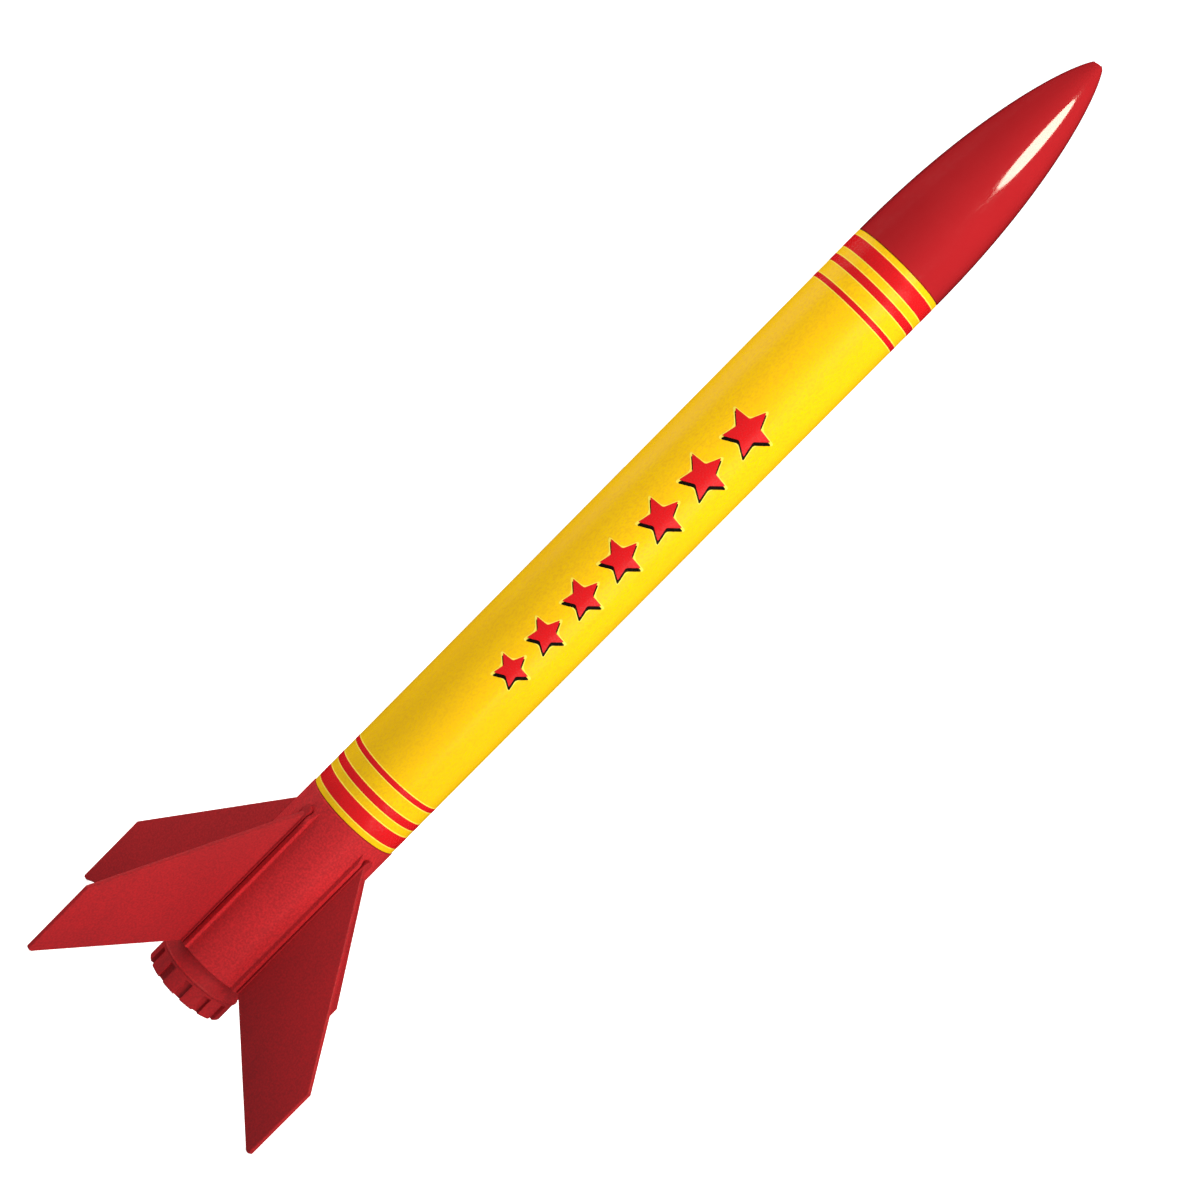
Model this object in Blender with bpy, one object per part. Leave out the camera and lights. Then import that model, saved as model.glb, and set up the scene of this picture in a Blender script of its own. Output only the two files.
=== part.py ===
"""Model rocket with slide-in fins, a twist-lock tail ring and a packed parachute.

The origin is on the plane of the four fin tips, under the rocket's axis. +Z runs to the nose, -Y is the
front, and the launch lug is at the back, on +Y. Lengths are in metres and angles in degrees.
"""
import math

import bmesh
import bpy
from mathutils import Matrix, Vector

# ---- Driving dimensions ----
GAP = 0.0003                    # space left between pieces that touch or are glued
SIDES = 48                      # sides of a turned piece

TUBE_RADIUS = 0.0175            # outside of the body tube
TUBE_WALL = 0.0005
TUBE_LENGTH = 0.2510

NOSE_LENGTH = 0.0905            # the part of the nose outside the tube
NOSE_POWER = 0.70               # fullness of the nose's profile
NOSE_WALL = 0.0015
NOSE_HOLLOW = 0.72              # share of the nose's length that is hollow
SHOULDER_LENGTH = 0.0270
PLUG_DEPTH = 0.0030
PLUG_LOOP_RADIUS = 0.0042       # centre line of the tie loop
PLUG_LOOP_WIRE = 0.0011

CAN_LENGTH = 0.0663             # outside length of the fin can
CAN_STEP = 0.00025              # how far the can stands out past the tube
CAN_WALL = 0.0014
SLEEVE_LENGTH = 0.0220          # front sleeve of the can, inside the body tube
SLEEVE_WALL = 0.0012
BULKHEAD = 0.0020               # aft wall of the can

RAIL_WIDTH = 0.0017
RAIL_HEIGHT = 0.0011
RAIL_START = 0.0030             # from the can's front edge
RAIL_RAMP = 0.0045              # length over which a rail rises

FIN_ANGLES = (-135.0, -45.0, 45.0, 135.0)   # counter-clockwise from +X
FIN_NAMES = ("fin_front_left", "fin_front_right", "fin_back_right", "fin_back_left")
FIN_SPAN_RADIUS = 0.0675        # axis to fin tip
FIN_THICKNESS = 0.0018
FIN_TIP_CHORD = 0.0271
FIN_ROOT_SETBACK = 0.0068       # leading edge at the root, from the can's front edge
FIN_TIP_FLAT = 0.0015           # flat that the rocket stands on
FIN_TIP_BLUNT = 0.0006
FIN_EDGE_BEVEL = 0.00045
FOOT_WIDTH = 0.0032
FOOT_HEIGHT = 0.0012
FOOT_SETBACK = 0.0046           # foot's front end, from the can's front edge
FOOT_PLAY = 0.0005              # between the foot and a rail
TAB_MARGIN = 0.0092             # from each end of the can's inside to the tab
SLOT_PLAY = 0.0003

RING_DROP = 0.0105              # tail ring's aft face above the fin tips
RING_LENGTH = 0.0139
RING_WALL = 0.0024
RING_NECK_LENGTH = 0.0055
RING_BEAD = 0.0004
RING_BEAD_LENGTH = 0.0009
RING_FLOOR = 0.0018             # aft wall, which holds the motor
RING_LIP = 0.0009               # how far the aft wall reaches in over the motor
NOTCH_COUNT = 12
NOTCH_ANGLE = -93.9
NOTCH_WIDTH = 0.0027
NOTCH_DEPTH = 0.0014
NOTCH_MARGIN = 0.0009           # solid band between the bead and the notches

GROOVE_FLOOR = 0.00185          # spigot's wall under a groove of the lock
LOCK_COUNT = 3
LOCK_TURN = 30.0                # turn of the tail ring from locked to free
LUG_SPREAD = 20.0
LUG_DEPTH = 0.0012
LUG_LENGTH = 0.0024
LUG_AFT = 0.0014                # from the ring's inner floor to the lugs
LOCK_PLAY = 0.00035
LOCK_PLAY_ANGLE = 1.6
SPIGOT_PLAY = 0.0004            # between the can's spigot and the ring

MOTOR_RADIUS = 0.0091           # bore for an 18 mm motor
MOTOR_LENGTH = 0.0700
MOTOR_TUBE_WALL = 0.0005
MOTOR_TUBE_LENGTH = 0.0930
THRUST_RING_LENGTH = 0.0060
THRUST_RING_WALL = 0.0022
CENTRING_RING_LENGTH = 0.0030

LAUNCH_LUG_RADIUS = 0.0024
LAUNCH_LUG_WALL = 0.0004
LAUNCH_LUG_LENGTH = 0.0500
LAUNCH_LUG_ABOVE_SEAM = 0.0700

ANCHOR_LENGTH = 0.0260
ANCHOR_SPREAD = 62.0
ANCHOR_THICKNESS = 0.0018
ANCHOR_ABOVE_SLEEVE = 0.0080

CANOPY_RADIUS = 0.0112
CANOPY_LENGTH = 0.0700
CANOPY_ABOVE_SEAM = 0.1227
CANOPY_FOLD = 0.0012

CORD_RADIUS = 0.0009            # elastic shock cord
LINE_RADIUS = 0.00035           # shroud line

SWIVEL_X = 0.0040
SWIVEL_ABOVE_SEAM = 0.2052
SWIVEL_LENGTH = 0.0090
SWIVEL_RADIUS = 0.0018
SWIVEL_EYE_RADIUS = 0.0015      # centre line of the wire eye at each end
SWIVEL_WIRE = 0.00035
SNAP_LENGTH = 0.0110
SNAP_WIDTH = 0.0052
SNAP_WIRE = 0.0004

# ---- Heights that follow from them ----
RING_AFT = RING_DROP
RING_FRONT = RING_AFT + RING_LENGTH
CAN_AFT = RING_FRONT + GAP
CAN_FRONT = CAN_AFT + CAN_LENGTH
TUBE_AFT = CAN_FRONT + GAP
TUBE_FRONT = TUBE_AFT + TUBE_LENGTH
NOSE_BASE = TUBE_FRONT + GAP
PLUG_AFT = NOSE_BASE - SHOULDER_LENGTH
FIN_TIP_FRONT = FIN_TIP_CHORD
FIN_ROOT_FRONT = CAN_FRONT - FIN_ROOT_SETBACK
SLEEVE_FRONT = CAN_FRONT + SLEEVE_LENGTH
SPIGOT_AFT = RING_AFT + RING_FLOOR + GAP
MOTOR_TUBE_FRONT = SPIGOT_AFT + MOTOR_TUBE_LENGTH
CANOPY_BOTTOM = TUBE_AFT + CANOPY_ABOVE_SEAM
SWIVEL_Z = TUBE_AFT + SWIVEL_ABOVE_SEAM

# ---- Radii that follow from them ----
TUBE_BORE = TUBE_RADIUS - TUBE_WALL
SHOULDER_RADIUS = TUBE_BORE - GAP
CAN_RADIUS = TUBE_RADIUS + CAN_STEP
CAN_BORE = CAN_RADIUS - CAN_WALL
SLEEVE_RADIUS = TUBE_BORE - GAP
SLEEVE_BORE = SLEEVE_RADIUS - SLEEVE_WALL
MOTOR_TUBE_RADIUS = MOTOR_RADIUS + MOTOR_TUBE_WALL
SPIGOT_BORE = MOTOR_TUBE_RADIUS + GAP
GROOVE_RADIUS = SPIGOT_BORE + GROOVE_FLOOR
LUG_TIP_RADIUS = GROOVE_RADIUS + LOCK_PLAY
RING_BORE = LUG_TIP_RADIUS + LUG_DEPTH
SPIGOT_RADIUS = RING_BORE - SPIGOT_PLAY
RING_RADIUS = RING_BORE + RING_WALL
RING_MOUTH_RADIUS = MOTOR_RADIUS - RING_LIP
FOOT_BASE = CAN_RADIUS + GAP
FOOT_TOP = FOOT_BASE + FOOT_HEIGHT
TAB_TIP = MOTOR_TUBE_RADIUS + 1.5 * GAP

# Turns a flat outline of (x, y) points to one of (x, z).
UPRIGHT = Matrix.Rotation(math.radians(90), 4, "X")

# Name: base colour, roughness, metallic
FINISHES = {
    "nose_red": ((0.54, 0.020, 0.022), 0.16, 0.0),
    "tube_yellow": ((1.0, 0.72, 0.0), 0.22, 0.0),
    "moulded_red": ((0.52, 0.020, 0.022), 0.38, 0.0),
    "plug_red": ((0.50, 0.022, 0.024), 0.40, 0.0),
    "kraft_tube": ((0.42, 0.27, 0.14), 0.85, 0.0),
    "fibre_ring": ((0.30, 0.19, 0.10), 0.88, 0.0),
    "lug_paper": ((0.90, 0.88, 0.82), 0.60, 0.0),
    "anchor_paper": ((0.82, 0.80, 0.74), 0.80, 0.0),
    "elastic_white": ((0.85, 0.84, 0.80), 0.80, 0.0),
    "canopy_film": ((0.95, 0.30, 0.04), 0.30, 0.0),
    "line_white": ((0.88, 0.88, 0.86), 0.75, 0.0),
    "swivel_brass": ((0.80, 0.60, 0.25), 0.30, 1.0),
    "snap_steel": ((0.62, 0.62, 0.62), 0.25, 1.0),
}


def clear_scene():
    for item in list(bpy.data.objects):
        bpy.data.objects.remove(item, do_unlink=True)


def finish(name):
    """Return the material of this name, making it the first time."""
    material = bpy.data.materials.get(name)
    if material:
        return material
    colour, roughness, metallic = FINISHES[name]
    material = bpy.data.materials.new(name)
    material.use_nodes = True
    shader = material.node_tree.nodes["Principled BSDF"]
    shader.inputs["Base Color"].default_value = (*colour, 1.0)
    shader.inputs["Roughness"].default_value = roughness
    shader.inputs["Metallic"].default_value = metallic
    return material


def add_object(name, mesh, material=None):
    """Link a new object. One without a material is a tool for a Boolean and is left out of the model."""
    item = bpy.data.objects.new(name, mesh)
    bpy.context.scene.collection.objects.link(item)
    if material:
        mesh.materials.append(finish(material))
        mesh.shade_smooth()
        mesh.set_sharp_from_angle(angle=math.radians(35))
    else:
        item.hide_render = True
        item.display_type = "WIRE"
    return item


def mesh_from(bm, name):
    bmesh.ops.recalc_face_normals(bm, faces=bm.faces)
    mesh = bpy.data.meshes.new(name)
    bm.to_mesh(mesh)
    bm.free()
    return mesh


def polar(radius, degrees, height):
    angle = math.radians(degrees)
    return Vector((radius * math.cos(angle), radius * math.sin(angle), height))


def lathe_mesh(name, profile, sides=SIDES):
    """Turn a closed profile of (radius, height) points about Z. A radius of 0 is a point on the axis."""
    bm = bmesh.new()
    rings = []
    for radius, height in profile:
        count = sides if radius > 0.0 else 1
        rings.append([bm.verts.new(polar(radius, 360.0 * i / sides, height)) for i in range(count)])
    for first, second in zip(rings, rings[1:] + rings[:1]):
        for i in range(sides):
            j = (i + 1) % sides
            corners = [first[i % len(first)], first[j % len(first)],
                       second[j % len(second)], second[i % len(second)]]
            corners = list(dict.fromkeys(corners))
            if len(corners) > 2:
                bm.faces.new(corners)
    return mesh_from(bm, name)


def lathe(name, material, profile, sides=SIDES):
    return add_object(name, lathe_mesh(name, profile, sides), material)


def packed(x, y, above_seam):
    """A point inside the body tube, by its height above the tube's aft end."""
    return Vector((x, y, TUBE_AFT + above_seam))


def tube_profile(outer, inner, aft, front):
    return [(outer, aft), (outer, front), (inner, front), (inner, aft)]


def extruded(bm, outline, depth, place):
    """Add a prism: the outline of (x, y) points, extruded from z = 0 to depth, moved by a matrix."""
    face = bm.faces.new([bm.verts.new((x, y, 0.0)) for x, y in outline])
    grown = bmesh.ops.extrude_face_region(bm, geom=[face])["geom"]
    top = [item for item in grown if isinstance(item, bmesh.types.BMVert)]
    bmesh.ops.translate(bm, verts=top, vec=(0.0, 0.0, depth))
    bmesh.ops.transform(bm, matrix=place, verts=list({*face.verts, *top}))


def sector(bm, inner, outer, aft, front, start, stop):
    """Add a curved block between two radii, two heights and two angles."""
    steps = max(2, math.ceil((stop - start) / 7.5))
    frames = []
    for i in range(steps + 1):
        angle = start + (stop - start) * i / steps
        corners = ((inner, aft), (outer, aft), (outer, front), (inner, front))
        frames.append([bm.verts.new(polar(radius, angle, height)) for radius, height in corners])
    for near, far in zip(frames, frames[1:]):
        for i in range(4):
            j = (i + 1) % 4
            bm.faces.new((near[i], near[j], far[j], far[i]))
    bm.faces.new(frames[0])
    bm.faces.new(frames[-1])


def combine(target, tool, operation):
    modifier = target.modifiers.new(tool.name, "BOOLEAN")
    modifier.operation = operation
    modifier.solver = "EXACT"
    modifier.object = tool


def turned(degrees):
    return Matrix.Rotation(math.radians(degrees), 4, "Z")


def cord(name, material, points, radius):
    """Round cord through the points, with filled ends."""
    curve = bpy.data.curves.new(name, "CURVE")
    curve.dimensions = "3D"
    curve.bevel_depth = radius
    curve.bevel_resolution = 2
    curve.use_fill_caps = True
    curve.materials.append(finish(material))
    spline = curve.splines.new("POLY")
    spline.points.add(len(points) - 1)
    for target, point in zip(spline.points, points):
        target.co = (*point, 1.0)
    item = bpy.data.objects.new(name, curve)
    bpy.context.scene.collection.objects.link(item)
    return item


def smooth_route(points, per_span):
    """Points along a Catmull-Rom curve through the given points."""
    ends = [points[0] * 2 - points[1]] + points + [points[-1] * 2 - points[-2]]
    route = []
    for a, b, c, d in zip(ends, ends[1:], ends[2:], ends[3:]):
        for i in range(per_span):
            t = i / per_span
            route.append(0.5 * (2 * b + (c - a) * t + (2 * a - 5 * b + 4 * c - d) * t ** 2
                                + (3 * b - a - 3 * c + d) * t ** 3))
    return route + [points[-1]]


# ---- Airframe ----
def nose_radius(share):
    """Radius of the nose at a share of its length from the base."""
    return TUBE_RADIUS * (1.0 - share ** 2) ** NOSE_POWER


def make_nose():
    outer_steps = 16
    inner_steps = 8
    outside = []
    for i in range(outer_steps + 1):
        share = math.sin(math.pi / 2 * i / outer_steps)
        radius = nose_radius(share) if i < outer_steps else 0.0
        outside.append((radius, NOSE_BASE + NOSE_LENGTH * share))
    hollow = []
    for i in range(inner_steps, -1, -1):
        share = NOSE_HOLLOW * i / inner_steps
        radius = min(nose_radius(share) - NOSE_WALL, SHOULDER_RADIUS - NOSE_WALL)
        hollow.append((radius if i < inner_steps else 0.0, NOSE_BASE + NOSE_LENGTH * share))
    chamfer = 0.6 * NOSE_WALL
    shoulder = [(SHOULDER_RADIUS - NOSE_WALL, PLUG_AFT), (SHOULDER_RADIUS - chamfer, PLUG_AFT),
                (SHOULDER_RADIUS, PLUG_AFT + 2 * chamfer), (SHOULDER_RADIUS, NOSE_BASE)]
    lathe("nose_cone", "nose_red", outside + hollow + shoulder)


def make_plug():
    radius = SHOULDER_RADIUS - NOSE_WALL - GAP
    edge = 0.0004
    plug = lathe("nose_plug", "plug_red", [
        (0.0, PLUG_AFT), (radius - edge, PLUG_AFT), (radius, PLUG_AFT + edge),
        (radius, PLUG_AFT + PLUG_DEPTH), (0.0, PLUG_AFT + PLUG_DEPTH)])
    bm = bmesh.new()
    steps = 14
    section = [(PLUG_LOOP_WIRE * math.cos(turn), PLUG_LOOP_WIRE * math.sin(turn))
               for turn in (math.radians(60 * i) for i in range(6))]
    frames = []
    for i in range(steps + 1):
        angle = math.pi + math.pi * i / steps
        frames.append([bm.verts.new(((PLUG_LOOP_RADIUS + dr) * math.cos(angle), dy,
                                     (PLUG_LOOP_RADIUS + dr) * math.sin(angle)))
                       for dr, dy in section])
    # Both ends run on into the plug.
    for end in (0, -1):
        raised = [bm.verts.new(vert.co + Vector((0, 0, 0.5 * PLUG_DEPTH))) for vert in frames[end]]
        frames = [raised] + frames if end == 0 else frames + [raised]
    for near, far in zip(frames, frames[1:]):
        for i in range(6):
            j = (i + 1) % 6
            bm.faces.new((near[i], near[j], far[j], far[i]))
    bm.faces.new(frames[0])
    bm.faces.new(frames[-1])
    bmesh.ops.translate(bm, verts=bm.verts, vec=(0, 0, PLUG_AFT))
    combine(plug, add_object("plug_loop_tool", mesh_from(bm, "plug_loop_tool")), "UNION")


def make_body_tube():
    lathe("body_tube", "tube_yellow", tube_profile(TUBE_RADIUS, TUBE_BORE, TUBE_AFT, TUBE_FRONT))


def make_launch_lug():
    lug = lathe("launch_lug", "lug_paper", tube_profile(
        LAUNCH_LUG_RADIUS, LAUNCH_LUG_RADIUS - LAUNCH_LUG_WALL, 0.0, LAUNCH_LUG_LENGTH), sides=24)
    lug.location = (0.0, TUBE_RADIUS + GAP + LAUNCH_LUG_RADIUS, TUBE_AFT + LAUNCH_LUG_ABOVE_SEAM)


def rail_tool():
    """Two rails beside each fin, ramped at the front, sunk into the can's wall."""
    bm = bmesh.new()
    base = CAN_RADIUS - 0.5 * CAN_WALL
    top = CAN_RADIUS + RAIL_HEIGHT
    near = FOOT_WIDTH / 2 + FOOT_PLAY
    front = CAN_FRONT - RAIL_START
    side_view = [(base, CAN_AFT + GAP), (top, CAN_AFT + GAP), (top, front - RAIL_RAMP), (base, front)]
    for angle in FIN_ANGLES:
        for offset in (near, -near - RAIL_WIDTH):
            # The outline is drawn in the fin's own radius and height, then swung to its angle.
            place = turned(angle) @ Matrix.Translation((0, offset + RAIL_WIDTH, 0)) @ UPRIGHT
            extruded(bm, side_view, RAIL_WIDTH, place)
    return add_object("rail_tool", mesh_from(bm, "rail_tool"))


def slot_tool():
    """Slots through the can's wall for the fins' tabs."""
    bm = bmesh.new()
    low, high = tab_span()
    side_view = [(CAN_BORE - CAN_WALL, low - SLOT_PLAY), (FOOT_TOP, low - SLOT_PLAY),
                 (FOOT_TOP, high + SLOT_PLAY), (CAN_BORE - CAN_WALL, high + SLOT_PLAY)]
    width = FIN_THICKNESS + 2 * SLOT_PLAY
    for angle in FIN_ANGLES:
        place = turned(angle) @ Matrix.Translation((0, width / 2, 0)) @ UPRIGHT
        extruded(bm, side_view, width, place)
    return add_object("slot_tool", mesh_from(bm, "slot_tool"))


def lock_tools():
    """Grooves of the twist lock: a run round the spigot and an entry from its aft end, for each lug."""
    low, high = lug_span()
    half = LUG_SPREAD / 2 + LOCK_PLAY_ANGLE
    run = bmesh.new()
    entry = bmesh.new()
    for i in range(LOCK_COUNT):
        centre = 360.0 * i / LOCK_COUNT
        sector(run, GROOVE_RADIUS, RING_BORE, low - LOCK_PLAY, high + LOCK_PLAY,
               centre - half, centre + LOCK_TURN + half)
        sector(entry, GROOVE_RADIUS, RING_BORE, SPIGOT_AFT - GAP, (low + high) / 2,
               centre + LOCK_TURN - half, centre + LOCK_TURN + half)
    return (add_object("lock_run_tool", mesh_from(run, "lock_run_tool")),
            add_object("lock_entry_tool", mesh_from(entry, "lock_entry_tool")))


def tab_span():
    """Lowest and highest point of a fin's tab."""
    return CAN_AFT + TAB_MARGIN, CAN_FRONT - TAB_MARGIN


def lug_span():
    """Lowest and highest point of the tail ring's lugs."""
    low = RING_AFT + RING_FLOOR + LUG_AFT
    return low, low + LUG_LENGTH


def make_fin_can():
    edge = 0.0004
    can = lathe("fin_can", "moulded_red", [
        (SPIGOT_BORE, SPIGOT_AFT), (SPIGOT_RADIUS - edge, SPIGOT_AFT), (SPIGOT_RADIUS, SPIGOT_AFT + edge),
        (SPIGOT_RADIUS, CAN_AFT), (CAN_RADIUS - edge, CAN_AFT), (CAN_RADIUS, CAN_AFT + edge),
        (CAN_RADIUS, CAN_FRONT - edge), (CAN_RADIUS - edge, CAN_FRONT), (SLEEVE_RADIUS, CAN_FRONT),
        (SLEEVE_RADIUS, SLEEVE_FRONT - 2 * edge), (SLEEVE_RADIUS - edge, SLEEVE_FRONT),
        (SLEEVE_BORE, SLEEVE_FRONT), (SLEEVE_BORE, CAN_FRONT - 2 * CAN_WALL),
        (CAN_BORE, CAN_FRONT - 3 * CAN_WALL), (CAN_BORE, CAN_AFT + BULKHEAD),
        (SPIGOT_BORE, CAN_AFT + BULKHEAD)])
    combine(can, rail_tool(), "UNION")
    combine(can, slot_tool(), "DIFFERENCE")
    for tool in lock_tools():
        combine(can, tool, "DIFFERENCE")


def make_tail_ring():
    floor = RING_AFT + RING_FLOOR
    bead_front = RING_FRONT - RING_NECK_LENGTH
    bead_aft = bead_front - RING_BEAD_LENGTH
    edge = 0.0004
    ring = lathe("tail_ring", "moulded_red", [
        (RING_MOUTH_RADIUS, RING_AFT), (RING_RADIUS - edge, RING_AFT), (RING_RADIUS, RING_AFT + edge),
        (RING_RADIUS, bead_aft), (RING_RADIUS + RING_BEAD, bead_aft + RING_BEAD_LENGTH / 3),
        (RING_RADIUS + RING_BEAD, bead_front - RING_BEAD_LENGTH / 3), (RING_RADIUS, bead_front),
        (RING_RADIUS, RING_FRONT), (RING_BORE, RING_FRONT), (RING_BORE, floor),
        (RING_MOUTH_RADIUS, floor)])
    notches = bmesh.new()
    half = NOTCH_WIDTH / 2
    low = RING_AFT - GAP
    high = bead_aft - NOTCH_MARGIN
    outline = [(-half, low), (half, low), (half, high), (-half, high)]
    for i in range(NOTCH_COUNT):
        place = (turned(NOTCH_ANGLE + 90.0 + 360.0 * i / NOTCH_COUNT)
                 @ Matrix.Translation((0, -RING_RADIUS + NOTCH_DEPTH, 0)) @ UPRIGHT)
        extruded(notches, outline, 2 * NOTCH_DEPTH, place)
    combine(ring, add_object("notch_tool", mesh_from(notches, "notch_tool")), "DIFFERENCE")
    lugs = bmesh.new()
    low, high = lug_span()
    for i in range(LOCK_COUNT):
        centre = 360.0 * i / LOCK_COUNT
        sector(lugs, LUG_TIP_RADIUS, RING_BORE + RING_WALL / 4, low, high,
               centre - LUG_SPREAD / 2, centre + LUG_SPREAD / 2)
    combine(ring, add_object("lug_tool", mesh_from(lugs, "lug_tool")), "UNION")


def make_fins():
    """One fin in the plane of +X and Z, then four copies of it swung to their angles."""
    sunk = FOOT_BASE + FOOT_HEIGHT / 2
    blade = bmesh.new()
    outline = [
        (sunk, CAN_AFT + GAP), (FIN_SPAN_RADIUS - FIN_TIP_BLUNT - FIN_TIP_FLAT, 0.0),
        (FIN_SPAN_RADIUS - FIN_TIP_BLUNT, 0.0), (FIN_SPAN_RADIUS, FIN_TIP_BLUNT),
        (FIN_SPAN_RADIUS, FIN_TIP_FRONT), (sunk, FIN_ROOT_FRONT)]
    extruded(blade, outline, FIN_THICKNESS, Matrix.Translation((0, FIN_THICKNESS / 2, 0)) @ UPRIGHT)
    rims = [edge for edge in blade.edges
            if abs(edge.verts[0].co.y - edge.verts[1].co.y) < GAP / 10
            and max(vert.co.x for vert in edge.verts) > sunk + GAP
            and max(vert.co.z for vert in edge.verts) > FIN_TIP_BLUNT + GAP]
    bmesh.ops.bevel(blade, geom=rims, offset=FIN_EDGE_BEVEL, segments=2, profile=0.5, affect="EDGES")
    source = add_object("fin_source", mesh_from(blade, "fin_source"))

    foot = bmesh.new()
    half = FOOT_WIDTH / 2
    front = CAN_FRONT - FOOT_SETBACK - half
    plan = [(half, CAN_AFT + GAP)]
    plan += [(half * math.cos(turn), front + half * math.sin(turn))
             for turn in (math.pi * i / 10 for i in range(11))]
    plan += [(-half, CAN_AFT + GAP)]
    # The foot's plan lies in Y and Z, and is extruded outwards.
    outward = Matrix(((0, 0, 1, FOOT_BASE), (1, 0, 0, 0), (0, 1, 0, 0), (0, 0, 0, 1)))
    extruded(foot, plan, FOOT_HEIGHT, outward)
    combine(source, add_object("foot_tool", mesh_from(foot, "foot_tool")), "UNION")

    tab = bmesh.new()
    low, high = tab_span()
    side_view = [(TAB_TIP, low), (sunk, low), (sunk, high), (TAB_TIP, high)]
    tab_thickness = FIN_THICKNESS - GAP
    extruded(tab, side_view, tab_thickness, Matrix.Translation((0, tab_thickness / 2, 0)) @ UPRIGHT)
    combine(source, add_object("tab_tool", mesh_from(tab, "tab_tool")), "UNION")

    bpy.context.view_layer.update()
    shape = bpy.data.meshes.new_from_object(source.evaluated_get(bpy.context.evaluated_depsgraph_get()))
    shape.materials.clear()
    shape.materials.append(finish("moulded_red"))
    shape.shade_smooth()
    shape.set_sharp_from_angle(angle=math.radians(25))
    for name, angle in zip(FIN_NAMES, FIN_ANGLES):
        fin = bpy.data.objects.new(name, shape)
        bpy.context.scene.collection.objects.link(fin)
        fin.rotation_euler = (0.0, 0.0, math.radians(angle))
    for item in (source, bpy.data.objects["foot_tool"], bpy.data.objects["tab_tool"]):
        bpy.data.objects.remove(item, do_unlink=True)


def make_motor_mount():
    lathe("motor_tube", "kraft_tube", tube_profile(
        MOTOR_TUBE_RADIUS, MOTOR_RADIUS, SPIGOT_AFT, MOTOR_TUBE_FRONT))
    thrust_aft = RING_AFT + RING_FLOOR + MOTOR_LENGTH + GAP
    lathe("thrust_ring", "fibre_ring", tube_profile(
        MOTOR_RADIUS - GAP, MOTOR_RADIUS - GAP - THRUST_RING_WALL,
        thrust_aft, thrust_aft + THRUST_RING_LENGTH))
    ring_front = MOTOR_TUBE_FRONT - 2 * GAP
    lathe("centring_ring", "fibre_ring", tube_profile(
        SLEEVE_BORE - GAP, MOTOR_TUBE_RADIUS + GAP, ring_front - CENTRING_RING_LENGTH, ring_front))


# ---- Recovery gear ----
def make_anchor():
    """Folded paper anchor on the inside of the tube, behind the shock cord's aft end."""
    bm = bmesh.new()
    low = SLEEVE_FRONT + ANCHOR_ABOVE_SLEEVE
    outer = TUBE_BORE - GAP
    sector(bm, outer - ANCHOR_THICKNESS, outer, low, low + ANCHOR_LENGTH,
           90 - ANCHOR_SPREAD / 2, 90 + ANCHOR_SPREAD / 2)
    add_object("cord_anchor", mesh_from(bm, "cord_anchor"), "anchor_paper")


def make_canopy():
    """Rolled canopy: a soft roll with a shallow fold round each end."""
    top = CANOPY_BOTTOM + CANOPY_LENGTH
    lathe("parachute_canopy", "canopy_film", [
        (0.0, CANOPY_BOTTOM + CANOPY_FOLD), (0.45 * CANOPY_RADIUS, CANOPY_BOTTOM),
        (CANOPY_RADIUS - 2 * CANOPY_FOLD, CANOPY_BOTTOM), (CANOPY_RADIUS - 0.4 * CANOPY_FOLD,
                                                          CANOPY_BOTTOM + CANOPY_FOLD),
        (CANOPY_RADIUS, CANOPY_BOTTOM + 3 * CANOPY_FOLD), (CANOPY_RADIUS, top - 3 * CANOPY_FOLD),
        (CANOPY_RADIUS - 0.4 * CANOPY_FOLD, top - CANOPY_FOLD), (CANOPY_RADIUS - 2 * CANOPY_FOLD, top),
        (0.45 * CANOPY_RADIUS, top), (0.0, top - CANOPY_FOLD)], sides=32)


def make_shock_cord():
    """Elastic from the anchor: pleats in a ring, a run past the canopy, then round the plug's loop."""
    legs = 12
    pleat_radius = 0.0110
    pleat_low, pleat_high = TUBE_AFT + 0.0647, TUBE_AFT + 0.1127
    step = 27.5
    bend = pleat_radius * math.radians(step) / 2
    pleats = []
    for leg in range(legs):
        # A half circle joins each leg to the next, by turns at the top and at the bottom.
        upward = leg % 2 == 0
        middle = (pleat_high - bend) if upward else (pleat_low + bend)
        for turn in (0, 60, 120, 180):
            angle = 90.0 - step * (leg + 0.5 - 0.5 * math.cos(math.radians(turn)))
            rise = bend * math.sin(math.radians(turn)) * (1 if upward else -1)
            pleats.append(polar(pleat_radius, angle, middle + rise))
    start = [packed(0.0, 0.0158, 0.0561), packed(0.0, 0.0156, 0.0587), packed(0.0, 0.0122, 0.0647),
             packed(0.0, 0.011, 0.0727)]
    past_canopy = [
        packed(-0.0056, 0.0096, 0.0807), packed(-0.0062, 0.01, 0.1087), packed(-0.0092, 0.0112, 0.1247),
        packed(-0.0126, 0.0074, 0.1507), packed(-0.0143, 0.003, 0.1787), packed(-0.0145, 0.0, 0.1947),
        packed(-0.0118, -0.0004, 0.2032), packed(-0.006, -0.0022, 0.2117),
        packed(-0.0012, -0.0029, 0.2165)]
    knot = [packed(0.0, -0.00265, 0.2201), packed(0.0, -0.00187, 0.22197),
            packed(0.0, 0.0, 0.22275), packed(0.0, 0.00187, 0.22197), packed(0.0, 0.00265, 0.2201),
            packed(-0.0006, 0.0034, 0.2149), packed(-0.0024, 0.0042, 0.2103)]
    route = start[:-1] + pleats + smooth_route(past_canopy + knot, 2)
    cord("shock_cord", "elastic_white", route, CORD_RADIUS)


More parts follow.
